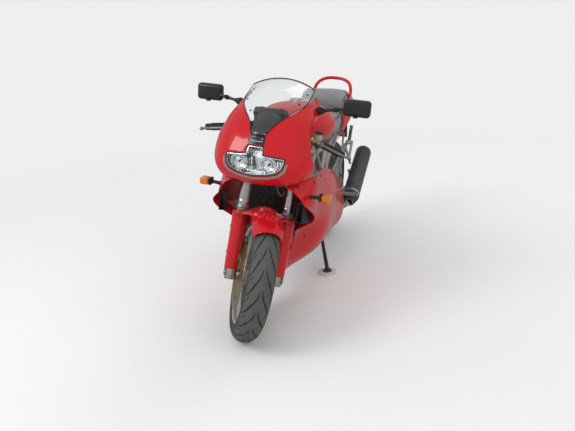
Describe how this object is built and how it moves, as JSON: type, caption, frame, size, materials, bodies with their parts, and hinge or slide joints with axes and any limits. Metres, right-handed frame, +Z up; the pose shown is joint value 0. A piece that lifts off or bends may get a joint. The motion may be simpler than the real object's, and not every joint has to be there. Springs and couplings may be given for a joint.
{
  "type": "sport bike",
  "caption": "Full-fairing sport bike with one wide headlamp, trellis frame, upswept mufflers and an arched grab rail, parked on its side stand with the front wheel turned left.",
  "frame": {"origin": "on the ground below the middle of the bike's bounding box, as it stands parked", "axes": "+X forward, +Y to the rider's left, +Z up"},
  "size_m": [1.9944, 0.8264, 1.1295],
  "materials": {
    "frame_silver": "satin silver paint",
    "cast_alloy": "cast, satin",
    "black_alloy": "black, satin",
    "red_paint": "gloss red paint",
    "bright_alloy": "polished",
    "seat_cover": "matt dark grey cover",
    "red_lens": "clear red",
    "clear_lens": "clear, ribbed",
    "reflector": "bright reflector",
    "black_plastic": "satin black",
    "clear_screen": "clear",
    "orange_lens": "clear orange",
    "spring_steel": "painted",
    "chain_steel": "oiled",
    "muffler_black": "satin dark grey",
    "exhaust_steel": "brushed",
    "stand_black": "black",
    "pad_plastic": "pale",
    "tyre": "matt",
    "wheel_silver": "satin silver",
    "disc_steel": "ground",
    "fork_silver": "satin",
    "grip_rubber": "matt",
    "gold_alloy": "gold anodised"
  },
  "bodies": {
    "chassis": {"frame_trellis": "frame_silver", "seat_subframe": "frame_silver", "engine_crankcase": "cast_alloy", "engine_cylinders": "cast_alloy", "oil_cooler": "black_alloy", "fuel_tank": "red_paint", "fuel_cap": "bright_alloy", "seat": "seat_cover", "tail_cowl": "red_paint", "tail_lamp": "red_lens", "grab_rail": "red_paint", "rear_mudguard": "black_plastic", "upper_cowl": "red_paint", "headlamp_lens": "clear_lens", "headlamp_bowl": "reflector", "cowl_neck": "black_plastic", "windscreen": "clear_screen", "cockpit_panel": "black_plastic", "instruments": "black_plastic", "fairing_stay": "black_alloy", "side_cowl_left": "red_paint", "side_cowl_right": "red_paint", "mirrors": "black_plastic", "indicators": "orange_lens", "intake_ducts": "black_plastic", "swingarm": "bright_alloy", "rear_shock": "spring_steel", "drive_chain": "chain_steel", "mufflers": "muffler_black", "exhaust_pipes": "exhaust_steel", "footrest_left": "bright_alloy", "footrest_right": "bright_alloy"},
    "side_stand": {"stand_leg": "stand_black", "stand_pad": "pad_plastic"},
    "rear_wheel": {"rear_tyre": "tyre", "rear_rim": "wheel_silver", "rear_disc": "disc_steel", "rear_sprocket": "disc_steel"},
    "steering": {"fork_legs": "fork_silver", "front_axle": "bright_alloy", "fork_yokes": "cast_alloy", "clip_on_bars": "black_alloy", "grips": "grip_rubber", "hand_levers": "bright_alloy", "front_mudguard": "red_paint", "front_calipers": "gold_alloy"},
    "front_wheel": {"front_tyre": "tyre", "front_rim": "wheel_silver", "front_discs": "disc_steel"}
  },
  "joints": [
    {"name": "steering_turn", "type": "hinge", "parent": "chassis", "child": "steering", "pos_m": [0.46883, -0.03619, 0.77849], "axis": [-0.4031, 0.1271, 0.9063], "range_deg": [-50, 0]},
    {"name": "front_wheel_spin", "type": "hinge", "parent": "steering", "child": "front_wheel", "pos_m": [0.71598, -0.09171, 0.28933], "axis": [-0.3873, 0.8736, -0.2948], "continuous": true},
    {"name": "rear_wheel_spin", "type": "hinge", "parent": "chassis", "child": "rear_wheel", "pos_m": [-0.68131, -0.10215, 0.31371], "axis": [-0.0006, 0.9903, -0.1392], "continuous": true},
    {"name": "side_stand_fold", "type": "hinge", "parent": "chassis", "child": "side_stand", "pos_m": [-0.13168, 0.0061, 0.21956], "axis": [0.1877, 0.9196, 0.3452], "range_deg": [0, 95]}
  ]
}
